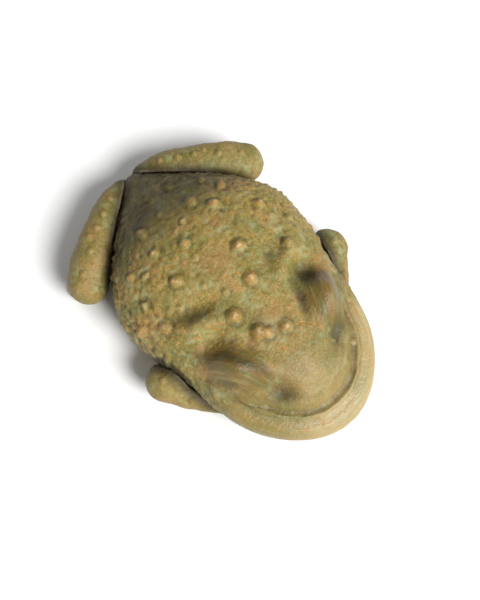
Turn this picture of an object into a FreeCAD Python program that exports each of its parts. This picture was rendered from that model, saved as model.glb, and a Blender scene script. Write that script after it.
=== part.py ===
import FreeCAD, Part

import math
import os

# A crouching toad figure, cast hollow with separate cast legs.
# Millimetres.  -Y is the way the toad looks, +X is the toad's own left, +Z is up.
# The floor is z = 0 and the origin is the middle of the figure's footprint.

Vector = FreeCAD.Vector

# ---- driving dimensions -------------------------------------------------------------------
SNOUT_Y = -102.0            # tip of the lower lip
RUMP_Y = 95.0               # tip of the rump
WALL = 5.0                  # thickness of the casting
GLUE_GAP = 0.25             # adhesive between a leg and the body
RIM_Z = 2.0                 # flat rim that the body casting ends on
PLATE_THICKNESS = 3.0
PLATE_INSET = 3.0           # rim left round the base plate
PLATE_CLEARANCE = 0.3

# Body form from snout to rump.  Width, rise and drop are those of a full ellipsoid, so each is
# multiplied by the ellipsoid's own taper at that y.  Squareness 2 is an ellipse, more is boxier.
#      y     half width  widest level  rise above  drop below  squareness above  and below
BODY_FORM = (
    (-102.0, 60.5, 27.0, 31.0, 33.0, 2.1, 1.7),
    (-75.0, 61.0, 27.0, 33.5, 35.0, 2.1, 1.7),
    (-50.0, 58.0, 27.0, 35.5, 36.0, 2.1, 1.8),
    (-30.0, 56.0, 27.5, 36.5, 37.0, 2.1, 2.0),
    (-5.0, 59.5, 28.0, 38.5, 38.0, 2.1, 2.5),
    (26.0, 63.0, 28.0, 40.0, 38.0, 2.1, 2.6),
    (46.0, 58.5, 28.0, 36.5, 38.0, 2.1, 2.6),
    (66.0, 47.5, 28.0, 29.0, 38.0, 2.1, 2.6),
    (82.0, 35.0, 28.0, 21.0, 38.0, 2.1, 2.6),
    (95.0, 26.0, 28.0, 15.0, 38.0, 2.1, 2.6),
)
SECTIONS_ALONG = 60
POINTS_ROUND = 80

# Mouth groove: a notch that runs round the head above the lower lip.
GROOVE_DEPTH = 7.5
GROOVE_HALF_HEIGHT = 5.5
GROOVE_FRONT_Z = 40.5       # level at the snout, measured before the notch is sunk
GROOVE_SIDE_Z = 45.0        # level at the corners of the mouth
GROOVE_END_Y = -42.0        # where the notch has faded out
GROOVE_FADE = 16.0          # length over which it fades

# Swellings (positive) and hollows (negative) on both sides of the head:
#   x, y, half length, half width, turn from +Y towards +X in degrees, height
HEAD_FORMS = (
    (29.0, -42.5, 15.0, 8.0, 24.0, 9.5),       # eye
    (32.5, -25.0, 7.5, 7.0, 30.0, -6.5),       # hollow behind the eye
    (27.0, -15.0, 12.0, 5.0, 62.0, 3.0),       # brow fold behind the hollow
    (26.0, -6.0, 14.0, 5.0, 65.0, -2.5),       # valley between head and back
    (22.5, -64.5, 8.5, 6.0, 20.0, -5.5),       # hollow beside the nostril
    (0.0, -66.0, 14.0, 6.0, 0.0, 1.2),         # bridge of the snout
)
HEAD_FORMS_LOW_Z = 30.0     # these forms fade in from this level
HEAD_FORMS_FULL_Z = 42.0    # and are at full height from this one

# Limbs: x, y, z and radius along each, for the left side.  Digits: x and y of knuckle and of tip.
THIGH = (
    (9.0, 88.5, 24.0, 10.0),
    (21.0, 84.0, 26.0, 11.3),
    (36.0, 75.0, 27.0, 12.0),
    (51.0, 65.0, 26.0, 12.8),
    (60.0, 58.0, 24.0, 12.3),
)
SHANK = (
    (58.5, 58.0, 14.0, 9.0),
    (48.0, 69.0, 12.0, 8.5),
    (32.0, 82.0, 10.0, 7.5),
)
HIND_FOOT = (
    (29.0, 85.0, 7.5, 7.0),
    (43.0, 78.5, 5.8, 5.3),
    (56.0, 69.0, 5.0, 4.6),
)
HIND_TOES = (
    (53.0, 74.0, 65.0, 72.0),
    (55.5, 72.0, 68.0, 66.5),
    (55.5, 69.5, 66.0, 59.5),
    (53.0, 68.5, 60.0, 56.0),
)
UPPER_ARM = (
    (44.0, -20.0, 26.0, 11.0),
    (53.0, -18.0, 24.0, 11.5),
    (62.0, -16.5, 21.0, 11.8),
)
FOREARM = (
    (60.5, -19.0, 18.0, 11.0),
    (54.5, -30.0, 14.5, 9.3),
    (45.0, -42.0, 10.0, 7.8),
    (38.0, -51.0, 7.0, 6.4),
)
FINGERS = (
    (40.0, -48.5, 42.5, -58.5),
    (38.5, -51.0, 38.5, -64.5),
    (36.5, -52.5, 32.5, -67.5),
    (34.5, -52.0, 26.0, -67.0),
)
DIGIT_ROOT_RADIUS = 4.0
DIGIT_NECK_RADIUS = 2.7
DIGIT_TIP_RADIUS = 3.2
FOOT_CLEARANCE = 0.4        # the feet hang this far above the floor; the pads carry the weight

# Steel dowels that pin each leg: middle point on the joint face, and way out of the body.
DOWEL_RADIUS = 2.0
DOWEL_LENGTH = 16.0
DOWEL_FIT = 0.05
DOWEL_BOSS_RADIUS = 5.5
DOWEL_BOSS_FLOOR = 3.0
HIND_DOWELS = (((27.5, 71.5, 27.0), (0.52, 0.85, 0.0)), ((44.5, 59.0, 26.0), (0.68, 0.73, 0.0)))
FRONT_DOWELS = (((57.0, -21.0, 22.0), (1.0, 0.0, 0.0)), ((58.0, -11.5, 22.0), (1.0, 0.0, 0.0)))

# Base plate fastening.
SCREW_PLACES = ((15.0, -42.0), (32.0, 36.0))
SCREW_RADIUS = 1.5
SCREW_HEAD_RADIUS = 3.0
SCREW_HEAD_HEIGHT = 1.6
SCREW_LENGTH = 14.0
SCREW_PITCH = 1.25
SCREW_THREAD_DEPTH = 0.4
SCREW_HEAD_EDGE = 0.2       # straight edge of the head, and how far the head is sunk
SCREW_POINT = 2.0           # plain point without thread
SCREW_HOLE_CLEARANCE = 0.2
RECESS_LENGTH = 3.9
RECESS_WIDTH = 0.8
RECESS_DEPTH = 0.9
PILOT_RADIUS = 1.55
PILOT_DEPTH = 14.5
POST_RADIUS = 6.0
VENT_RADIUS = 2.5

# Anti-slip pads.
PAD_PLACES = {"front": (10.5, -56.0), "rear": (20.0, 52.0)}
PAD_RADIUS = 7.0
PAD_THICKNESS = RIM_Z
PAD_CHAMFER = 0.5

# Fineness of the limb surfaces, and sizes used only while shapes are made.
LIMB_RINGS_PER_SPAN = 10
LIMB_POINTS_ROUND = 24
LIMB_CAP_RINGS = 6
STEP = 0.01                 # step for taking directions of curves
BEYOND = 200.0              # farther than any surface from the origin


# ---- smooth closed surfaces ---------------------------------------------------------------
def spline_value(rows, position, column):
    """Value of one column at a position, on a Catmull-Rom curve through the rows."""
    last = len(rows) - 1
    i = 0
    while i < last - 1 and rows[i + 1][0] < position:
        i += 1
    before = rows[max(i - 1, 0)]
    here = rows[i]
    there = rows[i + 1]
    after = rows[min(i + 2, last)]
    span = there[0] - here[0]
    t = (position - here[0]) / span
    slope_here = (there[column] - before[column]) / (there[0] - before[0]) * span
    slope_there = (after[column] - here[column]) / (after[0] - here[0]) * span
    t2 = t * t
    t3 = t2 * t
    return (
        here[column] * (2.0 * t3 - 3.0 * t2 + 1.0)
        + there[column] * (3.0 * t2 - 2.0 * t3)
        + slope_here * (t3 - 2.0 * t2 + t)
        + slope_there * (t3 - t2)
    )


def solid_from_grid(grid):
    """Closed solid through rings of points whose first and last ring are single points."""
    surface = Part.BSplineSurface()
    surface.interpolate(grid)
    solid = Part.Solid(Part.Shell([surface.toShape()]))
    if solid.Volume < 0.0:
        solid.reverse()
    return solid


def signed_power(value, power):
    return math.copysign(abs(value) ** power, value)


# ---- body form ----------------------------------------------------------------------------
def body_base(turn, angle, inset):
    """Point of the plain body: turn runs from snout 0 to rump pi, angle round the section."""
    middle = (SNOUT_Y + RUMP_Y) / 2.0
    reach = (RUMP_Y - SNOUT_Y) / 2.0
    station = middle - reach * math.cos(turn)
    taper = math.sin(turn)
    half_width = spline_value(BODY_FORM, station, 1) - inset
    level = spline_value(BODY_FORM, station, 2)
    upper = math.sin(angle) > 0.0
    height = spline_value(BODY_FORM, station, 3 if upper else 4) - inset
    power = 2.0 / spline_value(BODY_FORM, station, 5 if upper else 6)
    x = half_width * taper * signed_power(math.cos(angle), power)
    z = level + height * taper * signed_power(math.sin(angle), power)
    y = middle - (reach - inset) * math.cos(turn)
    return Vector(x, y, z)


def body_relief(point):
    """How far the head's swellings, hollows and mouth groove stand out from the plain body."""
    relief = 0.0
    if point.z > HEAD_FORMS_LOW_Z:
        top_side = (point.z - HEAD_FORMS_LOW_Z) / (HEAD_FORMS_FULL_Z - HEAD_FORMS_LOW_Z)
        top_side = min(top_side, 1.0)
        for x, y, half_length, half_width, turn, height in HEAD_FORMS:
            across = abs(point.x) - x
            along = point.y - y
            c = math.cos(math.radians(turn))
            s = math.sin(math.radians(turn))
            a = (along * c + across * s) / half_length
            b = (across * c - along * s) / half_width
            relief += height * math.exp(-(a * a + b * b)) * top_side
    back = min(max((point.y - SNOUT_Y) / (GROOVE_END_Y - SNOUT_Y), 0.0), 1.0)
    groove_z = GROOVE_FRONT_Z + (GROOVE_SIDE_Z - GROOVE_FRONT_Z) * back
    fade = min(max((GROOVE_END_Y - point.y) / GROOVE_FADE, 0.0), 1.0)
    fade = fade * fade * (3.0 - 2.0 * fade)
    off = (point.z - groove_z) / GROOVE_HALF_HEIGHT
    return relief - GROOVE_DEPTH * fade * math.exp(-off * off)


def body_point(turn, angle, inset):
    """Point of the finished body form."""
    point = body_base(turn, angle, inset)
    along = body_base(turn + STEP, angle, inset) - body_base(turn - STEP, angle, inset)
    around = body_base(turn, angle + STEP, inset) - body_base(turn, angle - STEP, inset)
    normal = along.cross(around)
    normal.normalize()
    return point + normal * body_relief(body_base(turn, angle, 0.0))


def body_solid(inset):
    """The whole body form, shrunk by inset all round."""
    grid = []
    middle_level = BODY_FORM[0][2]
    grid.append([Vector(0.0, SNOUT_Y + inset, middle_level)] * (POINTS_ROUND + 1))
    for i in range(1, SECTIONS_ALONG):
        turn = math.pi * i / SECTIONS_ALONG
        ring = []
        for j in range(POINTS_ROUND + 1):
            angle = 2.0 * math.pi * (j % POINTS_ROUND) / POINTS_ROUND - math.pi / 2.0
            ring.append(body_point(turn, angle, inset))
        grid.append(ring)
    grid.append([Vector(0.0, RUMP_Y - inset, BODY_FORM[-1][2])] * (POINTS_ROUND + 1))
    return solid_from_grid(grid)


def slab(bottom, top):
    """Everything between two levels."""
    box = Part.makeBox(2.0 * BEYOND, 2.0 * BEYOND, top - bottom)
    box.translate(Vector(-BEYOND, -BEYOND, bottom))
    return box


# ---- limbs --------------------------------------------------------------------------------
def limb(points):
    """Smooth round-ended limb through points given as x, y, z and radius."""
    rows = [(float(i),) + tuple(p) for i, p in enumerate(points)]
    end = float(len(points) - 1)
    steps = LIMB_RINGS_PER_SPAN * (len(points) - 1)

    def centre(t):
        return Vector(spline_value(rows, t, 1), spline_value(rows, t, 2), spline_value(rows, t, 3))

    def direction(t):
        a = min(max(t, STEP), end - STEP)
        way = centre(a + STEP) - centre(a - STEP)
        way.normalize()
        return way

    def ring(middle, way, radius):
        side = way.cross(Vector(0.0, 0.0, 1.0))
        side.normalize()
        rise = side.cross(way)
        out = []
        for j in range(LIMB_POINTS_ROUND + 1):
            angle = 2.0 * math.pi * (j % LIMB_POINTS_ROUND) / LIMB_POINTS_ROUND - math.pi / 2.0
            out.append(middle + side * (radius * math.cos(angle)) + rise * (radius * math.sin(angle)))
        return out

    first_radius = points[0][3]
    last_radius = points[-1][3]
    grid = [[centre(0.0) - direction(0.0) * first_radius] * (LIMB_POINTS_ROUND + 1)]
    for i in range(1, LIMB_CAP_RINGS):
        turn = 0.5 * math.pi * i / LIMB_CAP_RINGS
        middle = centre(0.0) - direction(0.0) * (first_radius * math.cos(turn))
        grid.append(ring(middle, direction(0.0), first_radius * math.sin(turn)))
    for i in range(steps + 1):
        t = end * i / steps
        grid.append(ring(centre(t), direction(t), spline_value(rows, t, 4)))
    for i in range(LIMB_CAP_RINGS - 1, 0, -1):
        turn = 0.5 * math.pi * i / LIMB_CAP_RINGS
        middle = centre(end) + direction(end) * (last_radius * math.cos(turn))
        grid.append(ring(middle, direction(end), last_radius * math.sin(turn)))
    grid.append([centre(end) + direction(end) * last_radius] * (LIMB_POINTS_ROUND + 1))
    return solid_from_grid(grid)


def digits(rows):
    """Toes or fingers: each narrows from its knuckle to a neck and ends in a round tip."""
    rods = []
    for root_x, root_y, tip_x, tip_y in rows:
        points = []
        for share, radius in ((0.0, DIGIT_ROOT_RADIUS), (0.65, DIGIT_NECK_RADIUS), (1.0, DIGIT_TIP_RADIUS)):
            x = root_x + (tip_x - root_x) * share
            y = root_y + (tip_y - root_y) * share
            points.append((x, y, radius + FOOT_CLEARANCE, radius))
        rods.append(limb(points))
    return rods


def dowel_rod(place, way, radius, inward, outward):
    """Cylinder along a dowel's line, from inside the body to inside the leg."""
    axis = Vector(*way)
    axis.normalize()
    start = Vector(*place) - axis * inward
    return Part.makeCylinder(radius, inward + outward, start, axis)


def dowel_bores(places):
    half = DOWEL_LENGTH / 2.0 + DOWEL_FIT
    return [dowel_rod(p, w, DOWEL_RADIUS + DOWEL_FIT, half, half) for p, w in places]


def leg(parts, dowels, body_and_gap):
    """One leg: its parts fused, shaped to the body's surface and drilled for its dowels."""
    whole = parts[0].fuse(parts[1:])
    whole = whole.common(slab(FOOT_CLEARANCE, BEYOND))
    whole = whole.cut(body_and_gap)
    whole = max(whole.Solids, key=lambda piece: piece.Volume)
    return whole.cut(dowel_bores(dowels))


def mirrored(shape):
    """The right-hand twin of a left-hand piece."""
    return shape.mirror(Vector(0.0, 0.0, 0.0), Vector(1.0, 0.0, 0.0))


def both_sides(shapes):
    return list(shapes) + [mirrored(shape) for shape in shapes]


# ---- body casting -------------------------------------------------------------------------
def body_shell(outer):
    """Hollow casting with dowel bosses, screw posts and a rebate for the base plate."""
    plate_top = RIM_Z + PLATE_THICKNESS
    cavity = body_solid(WALL).common(slab(plate_top, BEYOND))
    bosses = []
    for place, way in HIND_DOWELS + FRONT_DOWELS:
        inward = DOWEL_LENGTH / 2.0 + DOWEL_BOSS_FLOOR
        bosses.append(dowel_rod(place, way, DOWEL_BOSS_RADIUS, inward, 0.0))
    for x, y in SCREW_PLACES:
        bosses.append(Part.makeCylinder(POST_RADIUS, BEYOND, Vector(x, y, plate_top)))
    cavity = cavity.cut(both_sides(bosses))
    cavity = max(cavity.Solids, key=lambda piece: piece.Volume)
    rebate = body_solid(PLATE_INSET - PLATE_CLEARANCE).common(slab(RIM_Z - 1.0, plate_top))
    shell = outer.common(slab(RIM_Z, BEYOND))
    shell = shell.cut([cavity, rebate])
    holes = dowel_bores(HIND_DOWELS + FRONT_DOWELS)
    for x, y in SCREW_PLACES:
        holes.append(Part.makeCylinder(PILOT_RADIUS, PILOT_DEPTH, Vector(x, y, plate_top)))
    return shell.cut(both_sides(holes))


# ---- base ---------------------------------------------------------------------------------
def base_plate():
    """Plate that closes the underside, with countersunk screw holes and a vent."""
    plate = body_solid(PLATE_INSET).common(slab(RIM_Z, RIM_Z + PLATE_THICKNESS))
    holes = []
    for x, y in SCREW_PLACES:
        bottom = Vector(x, y, RIM_Z)
        wide = SCREW_HEAD_RADIUS + SCREW_HOLE_CLEARANCE
        narrow = SCREW_RADIUS + SCREW_HOLE_CLEARANCE
        holes.append(Part.makeCylinder(narrow, PLATE_THICKNESS, bottom))
        holes.append(Part.makeCone(wide, narrow, SCREW_HEAD_HEIGHT + SCREW_HEAD_EDGE, bottom))
    vent = Part.makeCylinder(VENT_RADIUS, PLATE_THICKNESS, Vector(0.0, 0.0, RIM_Z))
    return plate.cut(both_sides(holes) + [vent])


def screw(x, y):
    """Countersunk self-tapping screw, head down, its thread as a row of rings."""
    profile = [Vector(0.0, 0.0, 0.0), Vector(SCREW_HEAD_RADIUS, 0.0, 0.0)]
    profile.append(Vector(SCREW_HEAD_RADIUS, 0.0, SCREW_HEAD_EDGE))
    core = SCREW_RADIUS - SCREW_THREAD_DEPTH
    profile.append(Vector(core, 0.0, SCREW_HEAD_HEIGHT))
    z = SCREW_HEAD_HEIGHT + SCREW_PITCH
    while z + SCREW_PITCH < SCREW_LENGTH - SCREW_POINT:
        profile.append(Vector(core, 0.0, z))
        profile.append(Vector(SCREW_RADIUS, 0.0, z + SCREW_PITCH / 2.0))
        z += SCREW_PITCH
    profile.append(Vector(core, 0.0, z))
    profile.append(Vector(0.0, 0.0, SCREW_LENGTH))
    outline = Part.makePolygon(profile + [profile[0]])
    body = Part.Face(outline).revolve(Vector(0.0, 0.0, 0.0), Vector(0.0, 0.0, 1.0), 360.0)
    slots = []
    for turn in (0.0, 90.0):
        slot = Part.makeBox(RECESS_LENGTH, RECESS_WIDTH, RECESS_DEPTH)
        slot.translate(Vector(-RECESS_LENGTH / 2.0, -RECESS_WIDTH / 2.0, 0.0))
        slot.rotate(Vector(0.0, 0.0, 0.0), Vector(0.0, 0.0, 1.0), turn)
        slots.append(slot)
    body = body.cut(slots)
    body.translate(Vector(x, y, RIM_Z + SCREW_HEAD_EDGE))
    return body


def pad(x, y):
    """Round rubber pad under the base plate."""
    disc = Part.makeCylinder(PAD_RADIUS, PAD_THICKNESS, Vector(x, y, 0.0))
    bottom_edge = [e for e in disc.Edges if len(e.Vertexes) == 1 and e.BoundBox.ZMax < 0.01]
    return disc.makeChamfer(PAD_CHAMFER, bottom_edge)


# ---- assembly -----------------------------------------------------------------------------
def build():
    """All pieces by node name."""
    outer = body_solid(0.0)
    body_and_gap = body_solid(-GLUE_GAP)
    pieces = {"body_shell": body_shell(outer), "base_plate": base_plate()}
    hind_parts = [limb(THIGH), limb(SHANK), limb(HIND_FOOT)] + digits(HIND_TOES)
    front_parts = [limb(UPPER_ARM), limb(FOREARM)] + digits(FINGERS)
    limbs = {
        "hind_leg": (hind_parts, HIND_DOWELS),
        "front_leg": (front_parts, FRONT_DOWELS),
    }
    for name, (parts, dowels) in limbs.items():
        left = leg(parts, dowels, body_and_gap)
        pieces[name + "_left"] = left
        pieces[name + "_right"] = mirrored(left)
        half = DOWEL_LENGTH / 2.0
        pins = Part.makeCompound([dowel_rod(p, w, DOWEL_RADIUS, half, half) for p, w in dowels])
        pieces[name + "_left_dowels"] = pins
        pieces[name + "_right_dowels"] = mirrored(pins)
    left_screws = [screw(x, y) for x, y in SCREW_PLACES]
    pieces["base_screws"] = Part.makeCompound(both_sides(left_screws))
    for end, (x, y) in PAD_PLACES.items():
        pieces["pad_" + end + "_left"] = pad(x, y)
        pieces["pad_" + end + "_right"] = mirrored(pad(x, y))
    return pieces


os.makedirs("parts", exist_ok=True)
pieces = build()
extent = Part.makeCompound(list(pieces.values())).optimalBoundingBox(False, False)
shift = Vector(-extent.Center.x, -extent.Center.y, -extent.ZMin)
for node, shape in pieces.items():
    shape.translate(shift)
    shape.exportStep("parts/" + node + ".step")
    print(node, len(shape.Solids), "solids", shape.isValid(), round(shape.Volume / 1000.0, 2), "cm3")
print("extent", extent)
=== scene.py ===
import itertools
import math

import bmesh
import bpy
import numpy as np
from mathutils import Matrix, Vector
from mathutils.bvhtree import BVHTree

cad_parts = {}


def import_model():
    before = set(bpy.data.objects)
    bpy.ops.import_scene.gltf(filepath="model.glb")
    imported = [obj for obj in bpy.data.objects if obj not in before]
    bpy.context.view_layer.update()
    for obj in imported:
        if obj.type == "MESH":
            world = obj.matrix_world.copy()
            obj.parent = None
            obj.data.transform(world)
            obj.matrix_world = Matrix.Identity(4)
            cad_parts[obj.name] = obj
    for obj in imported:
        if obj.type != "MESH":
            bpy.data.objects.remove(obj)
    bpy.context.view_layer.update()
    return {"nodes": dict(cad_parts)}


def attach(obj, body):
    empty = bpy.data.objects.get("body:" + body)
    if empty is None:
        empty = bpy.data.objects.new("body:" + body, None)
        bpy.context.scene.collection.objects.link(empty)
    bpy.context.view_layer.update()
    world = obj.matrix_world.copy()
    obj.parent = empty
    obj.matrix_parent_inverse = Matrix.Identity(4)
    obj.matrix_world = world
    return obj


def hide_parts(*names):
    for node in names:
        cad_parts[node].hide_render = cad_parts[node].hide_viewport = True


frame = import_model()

# Sculpted sizes and places are in millimetres of the frame and are turned into metres once.
MM = 0.001

# ---- body details, in mm ------------------------------------------------------------------
# A pair of levels, places or tilts is where a fade, in or out, starts and where it ends.
BODY_VOXEL = 1.13           # point spacing of the sculpted body
LEG_VOXEL = 0.75
RIM_LEVELS = (2.6, 5.0)     # the body's lower rim stays as cast
FOOT_LEVELS = (1.2, 3.0)    # so do the soles
UPPER_TILTS = (-0.1, 0.3)   # rise of a normal, for what lies on the upper side only

# Line where the upper jaw meets the lower lip, one side, from the middle of the snout back.
GROOVE_LINE = (
    (0.0, -89.0), (10.0, -88.0), (20.0, -83.0), (28.0, -75.5),
    (33.5, -68.0), (37.0, -60.0), (40.5, -49.0), (45.0, -37.0),
)
# Relief across that line, outside it above zero: middle, width, height.
MOUTH_RELIEF = (
    (4.5, 2.6, 0.5),        # roll of the lower lip
    (-2.2, 2.2, 0.8),       # edge of the upper jaw
    (-0.6, 2.4, 2.8),       # fills most of the casting's wide notch again
    (0.0, 1.2, -1.0),       # fine crease
)
MOUTH_LEVELS = (24.0, 30.0)
MOUTH_END_ALONG = (54.0, 72.0)
MOUTH_END_Y = (-46.0, -34.0)
LIP_EDGE = (0.2, 1.6)
LIP_LEVELS = (9.0, 15.0)
JAW_BAND = (-9.0, -1.5)
SNOUT_Y = (-66.0, -48.0)

# Eye bulges, left and right: x, y, half length, half width, turn.
EYES = ((30.0, -42.0, 15.0, 8.5, 24.0), (-32.0, -42.5, 16.5, 8.5, -32.0))
EYE_EDGE = (0.14, 0.42)
EYE_FLOW_EDGE = 0.15

# Large and middle forms on the back and head: x, y, half length, half width, turn, height.
# Turn is from the frame's +Y towards +X, in degrees; a height below zero is a hollow.
FORMS = (
    (-39.0, -33.0, 10.0, 5.0, -35.0, 2.0),     # rear end of the right eye
    (-38.0, -48.0, 12.0, 5.0, -35.0, 2.4),     # its outer side
    (-36.0, -16.0, 13.0, 4.5, -62.0, 1.4),     # fold above it
    (-21.0, -27.0, 11.0, 4.0, -50.0, 1.8),
    (-33.0, -5.0, 13.0, 4.5, -60.0, -1.2),     # valley behind the fold
    (30.0, -26.0, 5.0, 5.0, 25.0, -1.6),       # pit behind the left eye
    (19.0, -36.0, 13.0, 3.5, 20.0, -1.4),      # troughs along the inner side of the eyes
    (-20.0, -39.0, 13.0, 3.5, -30.0, -1.4),
    (25.5, -58.0, 7.0, 4.5, 60.0, -1.8),       # nostril hollows
    (-20.5, -67.5, 8.0, 4.5, -50.0, -1.8),
    (16.0, -72.0, 11.0, 4.0, 35.0, 1.4),       # rim between left hollow and lip
    (-14.0, -77.0, 11.0, 3.5, -60.0, 1.2),
)

# Where dark wash and painted shade lie in pits, hollows and creases: x, y, half length, half width, turn,
# strength.
WASH_AND_SHADE_PLACES = (
    (31.0, -27.5, 8.5, 6.5, 40.0, 1.2),        # pits behind the eyes
    (-41.0, -25.0, 6.0, 4.5, -40.0, 0.8),
    (-28.5, -43.0, 18.0, 3.8, -31.0, 1.05),    # upper edges of the eyes
    (18.0, -36.0, 13.0, 3.4, 18.0, 0.9),
    (38.5, -33.0, 9.0, 3.5, 10.0, 0.6),
    (-38.5, -49.0, 15.0, 1.8, -34.0, 0.7),     # creases under the eyes
    (42.0, -42.0, 14.0, 1.6, 12.0, 0.5),
    (25.5, -60.0, 8.5, 5.0, 60.0, 0.95),        # nostril hollows
    (-21.0, -66.5, 9.5, 5.0, -50.0, 0.95),
    (-34.0, -5.0, 15.0, 4.5, -60.0, 0.75),      # valleys between head and back
    (-21.0, -16.0, 6.0, 3.5, -60.0, 0.5),
    (20.0, -8.0, 12.0, 4.0, 40.0, 0.4),
    (-8.0, -30.0, 8.0, 4.0, 80.0, 0.45),
)

# Warts: x, y, radius, height. Most x and y here and on the thighs are the printout of a
# scratch script, or near it, and aren't worked out from the frame; report.md says which.
WARTS = (
    (-16.0, -21.0, 4.6, 2.9), (-11.5, -35.5, 4.6, 2.8), (-8.0, -38.5, 3.8, 2.2), (2.0, -42.0, 4.0, 2.4),
    (11.0, 7.0, 4.4, 2.2), (4.0, -11.0, 4.2, 2.0), (34.0, -7.0, 3.4, 1.6), (-10.0, 27.0, 3.8, 1.9),
    (-27.0, 14.0, 4.2, 2.3), (-25.0, 35.0, 3.2, 1.8), (-22.0, 51.0, 3.8, 2.0), (-42.0, 35.0, 2.9, 1.5),
    (-37.0, 29.0, 2.8, 1.3), (-47.0, 18.0, 2.4, 1.3), (-46.0, 1.0, 3.8, 1.9), (-56.0, 10.0, 3.4, 1.7),
    (10.0, 47.0, 4.4, 2.2), (18.0, 36.0, 4.6, 1.8), (31.0, 46.0, 3.5, 1.7), (25.0, 57.0, 3.0, 1.4),
    (9.0, 67.0, 3.6, 1.4), (-5.0, 69.0, 2.6, 1.1), (19.0, 66.0, 2.4, 1.1), (38.0, 21.0, 3.8, 1.8),
    (-11.0, -8.0, 2.4, 1.0), (19.0, -62.0, 2.0, 0.7), (29.0, -69.0, 1.9, 0.9), (44.0, -49.0, 2.0, 0.8),
    (-2.0, 39.0, 2.4, 1.1), (-11.0, 17.0, 2.4, 1.0), (-8.0, 52.0, 2.2, 1.0), (26.0, 28.0, 2.4, 0.9),
    (-34.0, 2.0, 2.2, 0.9), (22.0, -3.0, 2.2, 0.8), (47.0, 6.0, 2.6, 1.1), (-18.0, 2.0, 2.2, 0.8),
)
WART_RISE = 1.3
WART_MOAT = (1.15, 0.28, 0.06)      # middle and width in radii, and depth
WART_UPWARD = (-0.25, 0.15)
WART_FULL_TIP = 1.8                 # height from which a tip is rubbed in full
THIGH_WARTS = (
    (28.0, 83.0, 2.6, 1.2), (36.5, 78.0, 2.4, 1.0), (48.0, 69.0, 2.5, 1.1),
    (59.5, 61.0, 2.6, 1.1), (19.0, 89.0, 2.2, 0.9), (43.0, 76.5, 2.0, 0.8),
)
ARM_WARTS = ((64.0, -16.0, 2.4, 0.9), (58.0, -33.0, 2.3, 0.9), (60.0, -24.0, 2.0, 0.7))

BODY_SEAM = (1.0, 7.0)              # full and no seam at these distances from the other piece
LEG_SEAM = (1.0, 6.0)
SHADE_NEAR_SEAM = (2.0, 9.0)         # the same for the painted shade along it
SEAM_SINK = 0.35                    # how far the body dips where a leg meets it
LEG_SEAM_ROUNDS = 14                # rounds of blur that flatten a leg there

FLANK_BUMP_PITCH = 4.6
FLANK_BUMP_HEIGHT = 2.0
FLANK_BUMP_LEVEL = 34.0
FLANK_BUMP_BAND = 11.0
FLANK_BUMP_START_Y = (-25.0, -8.0)
FLANK_BUMP_END_Y = (62.0, 80.0)
FLANK_BUMP_SEED = 5

WRINKLE_TURN = 35.0                 # degrees
WRINKLE_SIZE = (3.2, 9.5, 3.2)
WRINKLE_CROSS_SIZE = (9.0, 3.0, 4.0)
WRINKLE_REAR_Y = (-12.0, 30.0)
WRINKLE_SIDE_X = (22.0, 48.0)
WRINKLE_SEED = 11
GRAIN_SEED = 21
HIND_SEED = 60
FRONT_SEED = 80
PEBBLE_LEVEL = 0.35                 # height of a pebble at which the skin stays where it was
FOLD_LEVEL = 0.4                    # the same for a fold

# Where painted shade lies thick on the rump and slightly on the face, and the side, +x, on which the lip is
# painted paler and the hollows less dark, as painted light.
RUMP_Y = (28.0, 62.0)
FACE_Y = (-42.0, -16.0)
LIT_SIDE_X = (-34.0, -6.0)
CREST_ROUNDS = 6
FORM_ROUNDS = 40


def colour(red, green, blue):
    """Linear colour from display values of 0 to 255."""
    out = []
    for value in (red, green, blue):
        v = value / 255.0
        out.append(v / 12.92 if v <= 0.04045 else ((v + 0.055) / 1.055) ** 2.4)
    return (out[0], out[1], out[2], 1.0)


# ---- number work on points ----------------------------------------------------------------
def smoothstep(low, high, value):
    t = np.clip((value - low) / (high - low), 0.0, 1.0)
    return t * t * (3.0 - 2.0 * t)


def bell(value, middle, width):
    return np.exp(-(((value - middle) / width) ** 2))


def lattice_noise(points, size, seed):
    """Smooth noise from -1 to 1 whose features have one size; size may differ by axis."""
    table = np.random.default_rng(seed).uniform(-1.0, 1.0, (64, 64, 64))
    grid = points / np.asarray(size)
    cell = np.floor(grid).astype(int)
    part = grid - cell
    part = part * part * (3.0 - 2.0 * part)
    total = np.zeros(len(points))
    for corner in itertools.product((0, 1), repeat=3):
        index = (cell + corner) % 64
        weight = np.ones(len(points))
        for axis in range(3):
            weight *= part[:, axis] if corner[axis] else 1.0 - part[:, axis]
        total += weight * table[index[:, 0], index[:, 1], index[:, 2]]
    return total


def pebbles(points, size, seed):
    """Domes from 0 to 1 round points scattered one to a cell."""
    table = np.random.default_rng(seed).uniform(0.15, 0.85, (32, 32, 32, 3))
    grid = points / size
    cell = np.floor(grid).astype(int)
    nearest = np.full(len(points), 9.0)
    for step in itertools.product((-1, 0, 1), repeat=3):
        other = cell + step
        index = other % 32
        seedling = other + table[index[:, 0], index[:, 1], index[:, 2]]
        nearest = np.minimum(nearest, np.linalg.norm(grid - seedling, axis=1))
    return np.clip(1.0 - nearest / 0.62, 0.0, 1.0) ** 0.8


def patchy_pebbles(points, size, seed):
    return pebbles(points, size, seed) * (0.5 + 0.5 * lattice_noise(points, 6.0, seed + 1))


def ridges(points, size, seed):
    """Sharp folds above zero, with hollows below zero between them."""
    return (1.0 - np.abs(lattice_noise(points, size, seed))) ** 3 - FOLD_LEVEL


def turned_plan(points, x, y, turn):
    """How far points lie along and across a direction from a place, in plan."""
    c = math.cos(math.radians(turn))
    s = math.sin(math.radians(turn))
    dx = points[:, 0] - x
    dy = points[:, 1] - y
    return dy * c + dx * s, dx * c - dy * s


def mound(points, x, y, half_length, half_width, turn):
    """Bell from 0 to 1 in plan, longer one way than the other."""
    along, across = turned_plan(points, x, y, turn)
    a = along / half_length
    b = across / half_width
    return np.exp(-(a * a + b * b))


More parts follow.
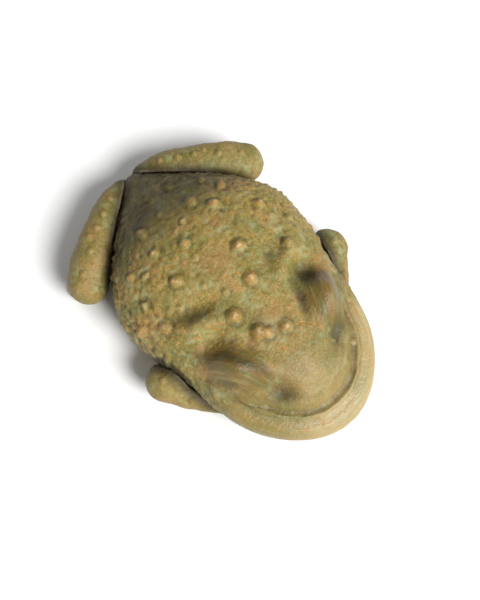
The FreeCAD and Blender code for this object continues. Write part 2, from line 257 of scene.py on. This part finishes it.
def line_field(points, line):
    """Signed plan distance from a line (positive outside) and how far along it, both sides."""
    x = np.abs(points[:, 0])
    y = points[:, 1]
    best = np.full(len(points), 1e9)
    signed = np.zeros(len(points))
    along = np.zeros(len(points))
    run = 0.0
    for (ax, ay), (bx, by) in zip(line[:-1], line[1:]):
        length = math.hypot(bx - ax, by - ay)
        ux = (bx - ax) / length
        uy = (by - ay) / length
        t = np.clip((x - ax) * ux + (y - ay) * uy, 0.0, length)
        off_x = x - ax - ux * t
        off_y = y - ay - uy * t
        distance = np.hypot(off_x, off_y)
        side = np.where(ux * off_y - uy * off_x > 0.0, -1.0, 1.0)
        closer = distance < best
        best = np.where(closer, distance, best)
        signed = np.where(closer, distance * side, signed)
        along = np.where(closer, run + t, along)
        run += length
    return signed, along


# ---- meshes -------------------------------------------------------------------------------
class Skin:
    """A piece's mesh as arrays, in mm, with its neighbours known."""

    def __init__(self, piece):
        self.mesh = piece.data
        count = len(self.mesh.vertices)
        flat = np.empty(count * 3)
        self.mesh.vertices.foreach_get("co", flat)
        self.points = flat.reshape(-1, 3) / MM
        pairs = np.empty(len(self.mesh.edges) * 2, dtype=int)
        self.mesh.edges.foreach_get("vertices", pairs)
        self.start, self.end = pairs.reshape(-1, 2).T
        self.degree = np.bincount(np.concatenate([self.start, self.end]), minlength=count)

    def average(self, values):
        """Mean of each point's neighbours, for one number or one row of numbers a point."""
        rows = values.reshape(len(values), -1)
        out = np.empty_like(rows, dtype=float)
        for k in range(rows.shape[1]):
            total = np.bincount(self.start, rows[self.end, k], len(rows))
            total += np.bincount(self.end, rows[self.start, k], len(rows))
            out[:, k] = total / np.maximum(self.degree, 1)
        return out.reshape(values.shape)

    def blurred(self, values, rounds):
        for _ in range(rounds):
            values = 0.5 * values + 0.5 * self.average(values)
        return values

    def relax(self, rounds):
        """Smooths without shrinking: one step in, one step out."""
        for _ in range(rounds):
            for share in (0.5, -0.52):
                self.points = self.points + share * (self.average(self.points) - self.points)

    def normals(self):
        self.write()
        flat = np.empty(len(self.points) * 3)
        self.mesh.vertex_normals.foreach_get("vector", flat)
        return flat.reshape(-1, 3)

    def push(self, amount):
        """Moves each point along its normal."""
        self.points = self.points + self.normals() * amount[:, None]

    def write(self):
        self.mesh.vertices.foreach_set("co", (self.points * MM).ravel())
        self.mesh.update()

    def convexity(self, rounds):
        """Above zero on crests, below zero in creases, at the scale of some rounds of blur."""
        smooth = self.points
        for _ in range(rounds):
            smooth = 0.5 * smooth + 0.5 * self.average(smooth)
        return np.einsum("ij,ij->i", self.points - smooth, self.normals())

    def store(self, name, values):
        layer = self.mesh.attributes.new(name, "FLOAT", "POINT")
        layer.data.foreach_set("value", values.astype(np.float32))

    def store_vector(self, name, values):
        layer = self.mesh.attributes.new(name, "FLOAT_VECTOR", "POINT")
        layer.data.foreach_set("vector", values.astype(np.float32).ravel())


def welded_tree(nodes):
    """Ray and distance tree over some CAD nodes."""
    corners = []
    faces = []
    for node in nodes:
        mesh = frame["nodes"][node].data
        base = len(corners)
        corners.extend(v.co.copy() for v in mesh.vertices)
        faces.extend([base + i for i in p.vertices] for p in mesh.polygons)
    return BVHTree.FromPolygons(corners, faces)


def cast_copy(name, node, voxel):
    """A new piece with the CAD node's form as an even, fine mesh to sculpt."""
    mesh = frame["nodes"][node].data.copy()
    mesh.materials.clear()
    cleaner = bmesh.new()
    cleaner.from_mesh(mesh)
    bmesh.ops.remove_doubles(cleaner, verts=cleaner.verts, dist=1e-6)
    cleaner.to_mesh(mesh)
    cleaner.free()
    piece = bpy.data.objects.new(name, mesh)
    bpy.context.scene.collection.objects.link(piece)
    modifier = piece.modifiers.new("even mesh", "REMESH")
    modifier.mode = "VOXEL"
    modifier.voxel_size = voxel * MM
    piece.update_tag()
    graph = bpy.context.evaluated_depsgraph_get()
    even = bpy.data.meshes.new_from_object(piece.evaluated_get(graph))
    piece.modifiers.clear()
    piece.data = even
    even.name = name
    for polygon in even.polygons:
        polygon.use_smooth = True
    return piece


def open_sky(skin, tree):
    """1 where a point sees out of the hollow casting, 0 inside it."""
    normals = skin.normals()
    tilts = (Vector((0, 0, 0)), Vector((0.5, 0, 0.2)), Vector((-0.5, 0, 0.2)), Vector((0, 0.5, 0.2)))
    seen = np.zeros(len(skin.points))
    for i, (point, normal) in enumerate(zip(skin.points * MM, normals)):
        direction = Vector(normal)
        start = Vector(point) + direction * (0.8 * MM)
        for tilt in tilts:
            if tree.ray_cast(start, (direction + tilt).normalized(), 0.4)[0] is None:
                seen[i] = 1.0
                break
    return smoothstep(0.45, 0.9, skin.blurred(seen, 3))


def nearness(skin, tree, near, far):
    """1 where another piece is nearer than near, falling to 0 at far, in mm."""
    distance = np.full(len(skin.points), far)
    for i, point in enumerate(skin.points * MM):
        hit = tree.find_nearest(Vector(point), far * MM)
        if hit[0] is not None:
            distance[i] = hit[3] / MM
    return 1.0 - smoothstep(near, far, distance)


def add_warts(skin, warts, mask, mirrored=False):
    """Raises domed warts with a faint moat, and returns how much wart each point is."""
    normals = skin.normals()
    upward = smoothstep(*WART_UPWARD, normals[:, 2]) * mask
    moat_middle, moat_width, moat_depth = WART_MOAT
    lift = np.zeros(len(skin.points))
    tips = np.zeros(len(skin.points))
    for x, y, radius, height in warts:
        side = -x if mirrored else x
        across = np.hypot(skin.points[:, 0] - side, skin.points[:, 1] - y) / radius
        dome = np.clip(1.0 - across ** 2, 0.0, 1.0) ** 1.3
        moat = bell(across, moat_middle, moat_width)
        lift += upward * height * (WART_RISE * dome - moat_depth * moat)
        tips = np.maximum(tips, upward * dome * min(1.0, height / WART_FULL_TIP))
    skin.push(lift)
    return tips


def raise_forms(skin, upper):
    lift = np.zeros(len(skin.points))
    for x, y, half_length, half_width, turn, height in FORMS:
        lift += height * mound(skin.points, x, y, half_length, half_width, turn)
    skin.push(lift * upper)


class Mouth:
    """The mouth's relief, and the fields that say where lip, jaw and eyes are."""

    def __init__(self, skin, outer):
        self.across, self.along = line_field(skin.points, GROOVE_LINE)
        self.high = smoothstep(*MOUTH_LEVELS, skin.points[:, 2]) * outer
        self.reach = 1.0 - smoothstep(*MOUTH_END_ALONG, self.along)
        self.reach *= 1.0 - smoothstep(*MOUTH_END_Y, skin.points[:, 1])
        relief = sum(height * bell(self.across, middle, width) for middle, width, height in MOUTH_RELIEF)
        skin.push(self.high * self.reach * relief)

    def sleek_skin(self, skin, outer, upper):
        """Returns lip, smooth skin and the two eye bulges, each from 0 to 1."""
        lip = outer * smoothstep(*LIP_EDGE, self.across) * self.reach
        lip = lip * smoothstep(*LIP_LEVELS, skin.points[:, 2])
        bulges = [mound(skin.points, *eye) for eye in EYES]
        eyes = smoothstep(*EYE_EDGE, np.maximum(*bulges)) * upper
        jaw = outer * smoothstep(*JAW_BAND, self.across) * self.reach * self.high
        front = 1.0 - smoothstep(*SNOUT_Y, skin.points[:, 1])
        jaw = np.maximum(jaw, 0.55 * front * upper)
        sleek = np.clip(np.maximum(lip, np.maximum(eyes, jaw)), 0.0, 1.0)
        lip = np.maximum(lip, (0.75 * jaw * front) * (1.0 - eyes))
        return lip, sleek, bulges


def add_flank_bumps(skin, rough):
    """Rows of round granules along each side, fading towards head and rump."""
    points = skin.points
    reach = smoothstep(*FLANK_BUMP_START_Y, points[:, 1])
    reach = reach * (1.0 - smoothstep(*FLANK_BUMP_END_Y, points[:, 1]))
    row = bell(points[:, 2], FLANK_BUMP_LEVEL, FLANK_BUMP_BAND)
    granules = pebbles(points, FLANK_BUMP_PITCH, FLANK_BUMP_SEED)
    skin.push(rough * reach * row * FLANK_BUMP_HEIGHT * (granules - PEBBLE_LEVEL))


def add_wrinkles(skin, rough):
    """Loose skin: stretched wrinkles, stronger towards the rump and flanks."""
    points = skin.points
    turn = math.radians(WRINKLE_TURN)
    turned = points @ np.array([
        [math.cos(turn), math.sin(turn), 0.0],
        [-math.sin(turn), math.cos(turn), 0.0],
        [0.0, 0.0, 1.0],
    ])
    warp = (2.0 * lattice_noise(points, 8.0, WRINKLE_SEED))[:, None]
    folds = ridges(turned + warp, WRINKLE_SIZE, WRINKLE_SEED + 1)
    cross = ridges(points + warp, WRINKLE_CROSS_SIZE, WRINKLE_SEED + 2)
    rear = smoothstep(*WRINKLE_REAR_Y, points[:, 1])
    side = smoothstep(*WRINKLE_SIDE_X, np.abs(points[:, 0]))
    loose = np.clip(0.12 + rear * 0.5 + side * 0.5, 0.0, 0.9)
    lumps = pebbles(points + 0.6 * warp, 4.2, WRINKLE_SEED + 3) - PEBBLE_LEVEL
    skin.push(rough * loose * (0.5 * folds + 0.45 * cross + 1.0 * lumps))


def add_grain(skin, rough, sleek):
    """Swells and grain of the casting."""
    points = skin.points
    swell = 0.5 * lattice_noise(points, 11.0, GRAIN_SEED)
    swell = swell + 0.35 * lattice_noise(points, 5.0, GRAIN_SEED + 1)
    grain = patchy_pebbles(points, 2.7, GRAIN_SEED + 2)
    fine = lattice_noise(points, 1.9, GRAIN_SEED + 4)
    faint = 0.05 * sleek * lattice_noise(points, 4.0, GRAIN_SEED + 5)
    skin.push(rough * (swell + 0.42 * grain + 0.16 * fine) + faint)


def body_wash_and_shade(skin, legs, outer, upper):
    """How thick dark washes and painted shade lie on the body; the painted shade darkens the rump, the head,
    the hollows and the seams by the legs.
    """
    points = skin.points
    # painted shade: darker towards the rump, and a little darker at the face
    rump = smoothstep(*RUMP_Y, points[:, 1])
    face = 1.0 - smoothstep(*FACE_Y, points[:, 1])
    wash_and_shade = np.maximum(0.1 + 0.13 * face, 0.95 * rump)
    # dark wash and painted shade in the listed pits, hollows and creases
    for x, y, half_length, half_width, turn, strength in WASH_AND_SHADE_PLACES:
        wash_and_shade = np.maximum(wash_and_shade, strength * mound(points, x, y, half_length, half_width, turn) * upper)
    # painted shade along the seams by the legs
    wash_and_shade = np.maximum(wash_and_shade, 0.9 * nearness(skin, legs, *SHADE_NEAR_SEAM) * outer)
    return np.minimum(wash_and_shade, 1.0)


def body_flow(points, mouth, bulges):
    """Coordinates that brush marks follow: round the lip, and lengthwise over each eye."""
    flow = np.stack([mouth.across, mouth.along * np.sign(points[:, 0]), np.zeros(len(points))], axis=1)
    for (x, y, _, _, turn), bulge in zip(EYES, bulges):
        along, across = turned_plan(points, x, y, turn)
        eye_flow = np.stack([across, along, np.ones(len(points))], axis=1)
        flow = np.where((bulge > EYE_FLOW_EDGE)[:, None], eye_flow, flow)
    return flow


def finish_cast(piece, skin, looks, flow, node):
    """Leaves on the points what the patina reads, hangs the piece on the root body and hides the CAD node it
    stands in for.
    """
    skin.store("crest", skin.blurred(skin.convexity(CREST_ROUNDS), 1))
    skin.store("form", skin.convexity(FORM_ROUNDS))
    for name, values in looks.items():
        skin.store(name, values)
    skin.store_vector("flow", flow)
    skin.write()
    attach(piece, "root")
    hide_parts(node)


def sculpt_body():
    piece = cast_copy("toad_body", "body_shell", BODY_VOXEL)
    skin = Skin(piece)
    outer = open_sky(skin, welded_tree(["body_shell", "base_plate"]))
    outer *= smoothstep(*RIM_LEVELS, skin.points[:, 2])
    skin.relax(4)
    upper = outer * smoothstep(*UPPER_TILTS, skin.normals()[:, 2])
    raise_forms(skin, upper)
    mouth = Mouth(skin, outer)
    lip, sleek, bulges = mouth.sleek_skin(skin, outer, upper)
    tips = add_warts(skin, WARTS, outer)
    rough = outer * (1.0 - sleek)
    add_flank_bumps(skin, rough)
    add_wrinkles(skin, rough)
    add_grain(skin, rough, sleek)
    legs = welded_tree(["hind_leg_left", "hind_leg_right", "front_leg_left", "front_leg_right"])
    seam = nearness(skin, legs, *BODY_SEAM) * outer
    skin.push(-SEAM_SINK * seam)
    looks = {
        "tips": tips, "sleek": sleek, "lip": lip, "seam": seam,
        # dark wash with painted shade in hollows, on head and rump and by the legs
        "wash_and_shade": body_wash_and_shade(skin, legs, outer, upper),
        # painted light: rises towards +x, where the lip is painted paler and hollows less dark
        "lit_side": smoothstep(*LIT_SIDE_X, skin.points[:, 0]),
    }
    finish_cast(piece, skin, looks, body_flow(skin.points, mouth, bulges), "body_shell")
    return piece


def sculpt_leg(name, node, warts, mirrored, seed):
    piece = cast_copy(name, node, LEG_VOXEL)
    skin = Skin(piece)
    skin.relax(3)
    skin.points = skin.blurred(skin.points, 3)
    skin.relax(4)
    body = welded_tree(["body_shell"])
    seam = nearness(skin, body, *LEG_SEAM)
    skin.points += (skin.blurred(skin.points, LEG_SEAM_ROUNDS) - skin.points) * seam[:, None]
    free = (1.0 - seam) * smoothstep(*FOOT_LEVELS, skin.points[:, 2])
    tips = add_warts(skin, warts, free, mirrored)
    points = skin.points
    swell = 0.4 * lattice_noise(points, 9.0, seed) + 0.25 * lattice_noise(points, 4.5, seed + 1)
    grain = patchy_pebbles(points, 2.6, seed + 2)
    folds = ridges(points, (3.0, 6.0, 3.0), seed + 4)
    skin.push(free * (swell + 0.22 * grain + 0.2 * folds))
    nowhere = np.zeros(len(points))
    looks = {
        "tips": tips, "sleek": nowhere, "lip": nowhere, "seam": seam,
        # an even dark wash, with painted shade where the leg meets the body
        "wash_and_shade": 0.24 + 0.7 * nearness(skin, body, *SHADE_NEAR_SEAM),
        "lit_side": nowhere,
    }
    finish_cast(piece, skin, looks, points, node)
    return piece


# ---- materials ----------------------------------------------------------------------------
class Shader:
    """Small helper that wires a material's nodes."""

    def __init__(self, name):
        self.material = bpy.data.materials.new(name)
        self.material.use_nodes = True
        self.tree = self.material.node_tree
        self.surface = self.tree.nodes["Principled BSDF"]
        coordinates = self.tree.nodes.new("ShaderNodeTexCoord")
        scale = self.tree.nodes.new("ShaderNodeMapping")
        scale.inputs["Scale"].default_value = (1.0 / MM, 1.0 / MM, 1.0 / MM)
        self.tree.links.new(coordinates.outputs["Object"], scale.inputs["Vector"])
        self.position = scale.outputs["Vector"]

    def feed(self, socket, value):
        if isinstance(value, bpy.types.NodeSocket):
            self.tree.links.new(value, socket)
        elif value is not None:
            socket.default_value = value

    def attribute(self, name, output="Fac"):
        node = self.tree.nodes.new("ShaderNodeAttribute")
        node.attribute_name = name
        return node.outputs[output]

    def math(self, operation, a, b=None, clamp=False):
        node = self.tree.nodes.new("ShaderNodeMath")
        node.operation = operation
        node.use_clamp = clamp
        self.feed(node.inputs[0], a)
        self.feed(node.inputs[1], b)
        return node.outputs[0]

    def between(self, value, low, high, out_low=0.0, out_high=1.0):
        """Value from low to high, turned smoothly into out_low to out_high."""
        node = self.tree.nodes.new("ShaderNodeMapRange")
        node.interpolation_type = "SMOOTHSTEP"
        self.feed(node.inputs["Value"], value)
        node.inputs["From Min"].default_value = low
        node.inputs["From Max"].default_value = high
        node.inputs["To Min"].default_value = out_low
        node.inputs["To Max"].default_value = out_high
        return node.outputs["Result"]

    def noise(self, size, detail=2.0, roughness=0.5, stretch=(1.0, 1.0, 1.0), offset=0.0, vector=None):
        """Noise from about 0.25 to 0.75 with features of about size mm."""
        mapping = self.tree.nodes.new("ShaderNodeMapping")
        mapping.inputs["Scale"].default_value = tuple(s / size for s in stretch)
        mapping.inputs["Location"].default_value = (offset, offset * 1.7, offset * 0.6)
        self.feed(mapping.inputs["Vector"], vector or self.position)
        node = self.tree.nodes.new("ShaderNodeTexNoise")
        node.inputs["Scale"].default_value = 1.0
        node.inputs["Detail"].default_value = detail
        node.inputs["Roughness"].default_value = roughness
        self.tree.links.new(mapping.outputs["Vector"], node.inputs["Vector"])
        return node.outputs["Fac"]

    def mix(self, share, a, b):
        node = self.tree.nodes.new("ShaderNodeMix")
        node.data_type = "RGBA"
        self.feed(node.inputs[0], share)
        self.feed(node.inputs[6], a)
        self.feed(node.inputs[7], b)
        return node.outputs[2]

    def mix_value(self, share, a, b):
        node = self.tree.nodes.new("ShaderNodeMix")
        node.data_type = "FLOAT"
        self.feed(node.inputs[0], share)
        self.feed(node.inputs[2], a)
        self.feed(node.inputs[3], b)
        return node.outputs[0]

    def bump(self, height, distance, strength, below=None):
        node = self.tree.nodes.new("ShaderNodeBump")
        node.inputs["Distance"].default_value = distance * MM
        node.inputs["Strength"].default_value = strength
        self.feed(node.inputs["Height"], height)
        self.feed(node.inputs["Normal"], below)
        return node.outputs["Normal"]


OLIVE = colour(138, 122, 56)
MOSS = colour(112, 110, 44)
VERDIGRIS = colour(154, 160, 116)
TAWNY = colour(154, 120, 64)
OCHRE = colour(186, 130, 50)
RUST = colour(168, 106, 58)
YELLOW = colour(198, 164, 52)
BEIGE = colour(190, 166, 112)
# dark brown for both the dark wash and the painted shade
UMBER_AND_SHADE = colour(54, 42, 16)
SHADE = colour(52, 50, 18)
BROWN = colour(108, 84, 40)
FILLER = colour(100, 90, 80)
CHIP = colour(214, 212, 206)
WORN = colour(206, 190, 160)
LIP_DULL = colour(168, 150, 98)
LIP_PALE = colour(200, 180, 134)
LIP_GREEN = colour(146, 132, 80)
LIP_STREAK = colour(194, 156, 98)
LID_OLIVE = colour(96, 88, 38)
LID_BROWN = colour(122, 88, 34)
LID_STREAK = colour(148, 136, 80)
GROUND_STEEL = colour(176, 176, 178)
ZINC_STEEL = colour(196, 190, 170)
DULL_STEEL = colour(120, 118, 112)
BOARD_DARK = colour(44, 42, 40)
BOARD_RUBBED = colour(66, 62, 56)
BOARD_GRAIN = colour(88, 84, 78)
RUBBER_BLACK = colour(34, 34, 35)
RUBBER_DUST = colour(74, 72, 68)
FLOOR_LIGHT = colour(244, 244, 243)
FLOOR_SHADED = colour(238, 238, 238)


class Patina(Shader):
    """Painted bronze patina, laid on coat by coat. Each noise has a shift of its own."""

    def __init__(self, name, offset):
        super().__init__(name)
        self.offset = offset
        self.crest = self.attribute("crest")
        self.sleek = self.attribute("sleek")
        self.seam = self.attribute("seam")
        # painted light: the side on which lip and hollows are painted paler
        self.lit_side = self.attribute("lit_side")
        self.broad = self.noise(26.0, 2.0, offset=offset)
        self.middle = self.noise(9.0, 3.0, 0.55, offset=offset + 3.0)
        self.small = self.noise(3.2, 3.0, 0.6, offset=offset + 17.0)
        self.speck_a = self.noise(1.7, 3.0, 0.65, offset=offset + 7.0)
        self.speck_b = self.noise(1.2, 3.0, 0.65, offset=offset + 11.0)
        flow = self.attribute("flow", "Vector")
        self.streak = self.noise(1.0, 3.0, 0.6, (1.0, 0.06, 1.0), offset + 31.0, flow)
        self.wide_streak = self.noise(3.6, 2.0, 0.5, (1.0, 0.1, 1.0), offset + 37.0, flow)

    def times(self, a, b):
        return self.math("MULTIPLY", a, b)

    def ground(self):
        """Olive and moss with tawny, verdigris and beige mottling."""
        tawny = self.noise(17.0, 2.0, 0.5, offset=self.offset + 53.0)
        verdigris = self.times(self.between(self.middle, 0.44, 0.64), self.between(self.small, 0.4, 0.6))
        beige = self.between(self.speck_b, 0.46, 0.66)
        beige = self.times(beige, self.between(self.middle, 0.6, 0.4, 0.3, 1.0))
        base = self.mix(self.between(self.broad, 0.35, 0.65), OLIVE, MOSS)
        base = self.mix(self.between(tawny, 0.5, 0.66, 0.0, 0.75), base, TAWNY)
        base = self.mix(self.times(self.between(self.small, 0.5, 0.3), 0.5), base, BROWN)
        base = self.mix(self.times(verdigris, 0.7), base, VERDIGRIS)
        return self.mix(self.times(beige, 0.45), base, BEIGE)

    def dry_brushed(self, base, dryness):
        """Ochre and rust on the raised skin, in patches."""
        patches = self.between(self.noise(15.0, 3.0, 0.6, offset=self.offset + 23.0), 0.4, 0.62)
        raised = self.between(self.crest, -0.05, 0.12)
        fleck = self.times(self.between(self.speck_a, 0.47, 0.64), self.mix_value(raised, 0.45, 1.0))
        fleck = self.times(fleck, self.mix_value(patches, 0.12, dryness))
        glint = self.between(self.noise(0.9, 1.0, offset=self.offset + 29.0), 0.58, 0.68)
        base = self.mix(fleck, base, self.mix(self.between(self.small, 0.42, 0.58), OCHRE, RUST))
        base = self.mix(self.times(self.times(glint, patches), 0.6), base, YELLOW)
        return self.mix(self.times(raised, 0.12), base, BEIGE)

    def streaked(self, base):
        """Lip and eyelids: brushed streaks that follow the form."""
        pale = self.mix(self.between(self.wide_streak, 0.38, 0.62), LIP_DULL, LIP_PALE)
        green = self.mix(self.between(self.wide_streak, 0.4, 0.6), OLIVE, LIP_GREEN)
        # painted light: the lip is paler towards +x and greener on the other side
        lip = self.mix(self.lit_side, green, pale)
        lip = self.mix(self.between(self.streak, 0.52, 0.68, 0.0, 0.6), lip, LIP_STREAK)
        lip = self.mix(self.between(self.streak, 0.47, 0.34, 0.0, 0.7), lip, VERDIGRIS)
        lip = self.mix(self.between(self.middle, 0.52, 0.68, 0.0, 0.35), lip, OCHRE)
        lid = self.mix(self.between(self.wide_streak, 0.4, 0.6), LID_OLIVE, LID_BROWN)
        lid = self.mix(self.between(self.streak, 0.48, 0.68, 0.0, 0.75), lid, LID_STREAK)
        return self.mix(self.times(self.sleek, 0.8), base, self.mix(self.attribute("lip"), lid, lip))

    def rubbed(self, base):
        """Wart tips are rubbed back to ochre and a pale pinkish highlight."""
        tips = self.attribute("tips")
        ochre = self.times(self.between(tips, 0.35, 0.95), self.between(self.small, 0.35, 0.6, 0.15, 0.65))
        bare = self.times(self.between(tips, 0.7, 1.0), self.between(self.speck_a, 0.45, 0.6, 0.0, 0.7))
        return self.mix(bare, self.mix(ochre, base, OCHRE), WORN)

    def washed_and_shaded(self, base):
        """Dark washes and painted shade in creases and hollows, painted shade thicker on head and rump and
        along the seams, and a grey glue line.
        """
        # dark wash with painted shade, as laid on the points
        wash_and_shade_share = self.times(self.attribute("wash_and_shade"), self.between(self.middle, 0.3, 0.7, 0.95, 0.7))
        # painted shade with some dark wash in creases
        hollow = self.times(self.between(self.crest, -0.04, -0.24), 0.42)
        # painted shade in large hollows, less of it on the painted-light side
        deep = self.between(self.attribute("form"), -0.3, -1.7)
        deep = self.times(deep, self.mix_value(self.lit_side, 0.8, 0.3))
        glue = self.times(self.between(self.seam, 0.8, 1.0), self.between(self.middle, 0.4, 0.65, 0.05, 0.6))
        base = self.mix(wash_and_shade_share, base, self.mix(self.between(self.broad, 0.4, 0.6), UMBER_AND_SHADE, SHADE))
        base = self.mix(self.math("MAXIMUM", hollow, deep), base, UMBER_AND_SHADE)
        # painted shade where the legs meet the body
        base = self.mix(self.times(self.between(self.seam, 0.2, 0.9), 0.55), base, UMBER_AND_SHADE)
        return self.mix(glue, base, FILLER)

    def chipped(self, base):
        """A few small chips show the pale casting, away from the seams."""
        chip = self.times(self.between(self.speck_b, 0.735, 0.755), self.between(self.broad, 0.5, 0.6))
        return self.mix(self.times(chip, self.between(self.seam, 0.3, 0.1)), base, CHIP)

    def relief(self):
        """Fine grain, or brush marks on sleek skin, over a coarser one."""
        grain = self.noise(0.8, 3.0, 0.6, offset=self.offset + 41.0)
        coarse = self.bump(self.noise(2.0, 3.0, 0.6, offset=self.offset + 43.0), 0.8, 0.8)
        return self.bump(self.mix_value(self.sleek, grain, self.streak), 0.35, 0.8, coarse)


def patina(name, offset, dryness):
    p = Patina(name, offset)
    base = p.streaked(p.dry_brushed(p.ground(), dryness))
    p.feed(p.surface.inputs["Base Color"], p.chipped(p.washed_and_shaded(p.rubbed(base))))
    gloss = p.mix_value(p.sleek, p.between(p.small, 0.35, 0.65, 0.48, 0.66), 0.4)
    p.feed(p.surface.inputs["Roughness"], gloss)
    p.surface.inputs["Specular IOR Level"].default_value = 0.4
    p.feed(p.surface.inputs["Normal"], p.relief())
    return p.material


def steel(name, tint, roughness, ring):
    """Turned or plated steel with fine marks."""
    s = Shader(name)
    marks = s.noise(0.25, 3.0, 0.6, ring)
    patches = s.noise(3.0, 2.0)
    s.surface.inputs["Metallic"].default_value = 1.0
    s.feed(s.surface.inputs["Base Color"], s.mix(s.between(patches, 0.3, 0.7), tint, DULL_STEEL))
    s.feed(s.surface.inputs["Roughness"], s.between(marks, 0.3, 0.7, roughness - 0.1, roughness + 0.15))
    s.feed(s.surface.inputs["Normal"], s.bump(marks, 0.05, 0.4))
    return s.material


def board(name):
    """Dark moulded sheet with a leathery grain and rubbed patches."""
    s = Shader(name)
    grain = s.noise(0.9, 4.0, 0.65)
    rubbed = s.noise(14.0, 3.0, 0.6)
    shade = s.mix(s.between(rubbed, 0.4, 0.7), BOARD_DARK, BOARD_RUBBED)
    shade = s.mix(s.between(grain, 0.55, 0.75), shade, BOARD_GRAIN)
    s.feed(s.surface.inputs["Base Color"], shade)
    s.feed(s.surface.inputs["Roughness"], s.between(grain, 0.3, 0.7, 0.6, 0.8))
    s.feed(s.surface.inputs["Normal"], s.bump(grain, 0.2, 0.6))
    return s.material


def rubber(name):
    """Matt black rubber with dust in its pores."""
    s = Shader(name)
    pores = s.noise(0.5, 3.0, 0.6)
    dust = s.noise(4.0, 3.0, 0.6)
    shade = s.mix(s.between(dust, 0.5, 0.75), RUBBER_BLACK, RUBBER_DUST)
    s.feed(s.surface.inputs["Base Color"], shade)
    s.feed(s.surface.inputs["Roughness"], s.between(pores, 0.3, 0.7, 0.75, 0.92))
    s.feed(s.surface.inputs["Normal"], s.bump(pores, 0.1, 0.5))
    return s.material


def dress(node, material):
    """Gives a CAD node that stays visible its detailed material."""
    mesh = frame["nodes"][node].data
    mesh.materials.clear()
    mesh.materials.append(material)


# ---- build --------------------------------------------------------------------------------
body = sculpt_body()
body.data.materials.append(patina("patina_body", 0.0, 0.95))
limb_patina = patina("patina_limbs", 50.0, 0.7)
for side, mirrored in (("left", False), ("right", True)):
    hind = sculpt_leg("toad_hind_leg_" + side, "hind_leg_" + side, THIGH_WARTS, mirrored, HIND_SEED)
    front = sculpt_leg("toad_front_leg_" + side, "front_leg_" + side, ARM_WARTS, mirrored, FRONT_SEED)
    hind.data.materials.append(limb_patina)
    front.data.materials.append(limb_patina)

dowel_steel = steel("ground_steel", GROUND_STEEL, 0.35, (1.0, 1.0, 8.0))
screw_steel = steel("zinc_plated_steel", ZINC_STEEL, 0.4, (1.0, 1.0, 6.0))
plate_board = board("base_board")
pad_rubber = rubber("pad_rubber")
for node in frame["nodes"]:
    if node.endswith("dowels"):
        dress(node, dowel_steel)
    elif node.startswith("pad_"):
        dress(node, pad_rubber)
dress("base_screws", screw_steel)
dress("base_plate", plate_board)


# ---- stage, lights and camera -------------------------------------------------------------
def stage():
    half = 6.0
    mesh = bpy.data.meshes.new("floor")
    corners = [(-half, -half, 0.0), (half, -half, 0.0), (half, half, 0.0), (-half, half, 0.0)]
    mesh.from_pydata(corners, [], [(0, 1, 2, 3)])
    floor = bpy.data.objects.new("floor", mesh)
    bpy.context.scene.collection.objects.link(floor)
    s = Shader("pale_floor")
    tone = s.noise(400.0, 2.0)
    s.feed(s.surface.inputs["Base Color"], s.mix(tone, FLOOR_LIGHT, FLOOR_SHADED))
    s.feed(s.surface.inputs["Roughness"], s.between(tone, 0.3, 0.7, 0.85, 0.95))
    mesh.materials.append(s.material)


def broad_light(name, direction, softness, strength):
    """Even light over figure and floor from a direction; softness is its width in degrees."""
    data = bpy.data.lights.new(name, "SUN")
    data.angle = math.radians(softness)
    data.energy = strength
    light = bpy.data.objects.new(name, data)
    bpy.context.scene.collection.objects.link(light)
    way = Vector(direction).normalized()
    light.location = way
    light.rotation_euler = (-way).to_track_quat("-Z", "Y").to_euler()


def camera():
    """Looks down on the figure from its front right, over the snout."""
    azimuth = math.radians(-40.0)
    elevation = math.radians(71.5)
    roll = math.radians(-0.7)
    distance = 0.473
    aim = Vector((-0.0015, -0.0085, 0.034))
    right = Vector((math.cos(azimuth), math.sin(azimuth), 0.0))
    back = Vector((
        math.sin(azimuth) * math.cos(elevation),
        -math.cos(azimuth) * math.cos(elevation),
        math.sin(elevation),
    ))
    up = back.cross(right)
    turned_right = right * math.cos(roll) + up * math.sin(roll)
    turned_up = up * math.cos(roll) - right * math.sin(roll)
    data = bpy.data.cameras.new("camera")
    data.lens = 50.0
    data.sensor_width = 36.0
    data.clip_start = 0.01
    eye = bpy.data.objects.new("camera", data)
    bpy.context.scene.collection.objects.link(eye)
    turn = Matrix((turned_right, turned_up, back)).transposed().to_4x4()
    eye.matrix_world = Matrix.Translation(aim + back * distance) @ turn
    bpy.context.scene.camera = eye


def world(overhead, horizon, height=0.45):
    """Pale room, brightest at the horizon so the floor runs into it; height is the ramp's end."""
    shade = bpy.data.worlds.new("studio")
    shade.use_nodes = True
    tree = shade.node_tree
    coordinates = tree.nodes.new("ShaderNodeTexCoord")
    split = tree.nodes.new("ShaderNodeSeparateXYZ")
    tree.links.new(coordinates.outputs["Generated"], split.inputs["Vector"])
    ramp = tree.nodes.new("ShaderNodeMapRange")
    ramp.interpolation_type = "SMOOTHSTEP"
    ramp.inputs["From Min"].default_value = 0.0
    ramp.inputs["From Max"].default_value = height
    ramp.inputs["To Min"].default_value = horizon
    ramp.inputs["To Max"].default_value = overhead
    tree.links.new(split.outputs["Z"], ramp.inputs["Value"])
    background = tree.nodes["Background"]
    background.inputs["Color"].default_value = (1.0, 1.0, 1.0, 1.0)
    tree.links.new(ramp.outputs["Result"], background.inputs["Strength"])
    bpy.context.scene.world = shade


stage()
broad_light("key", (0.06, -0.72, 0.7), softness=24.0, strength=4.3)
broad_light("fill", (0.45, -0.1, 0.9), softness=80.0, strength=0.5)
world(overhead=0.15, horizon=1.0)
camera()
bpy.context.scene.view_settings.view_transform = "Standard"
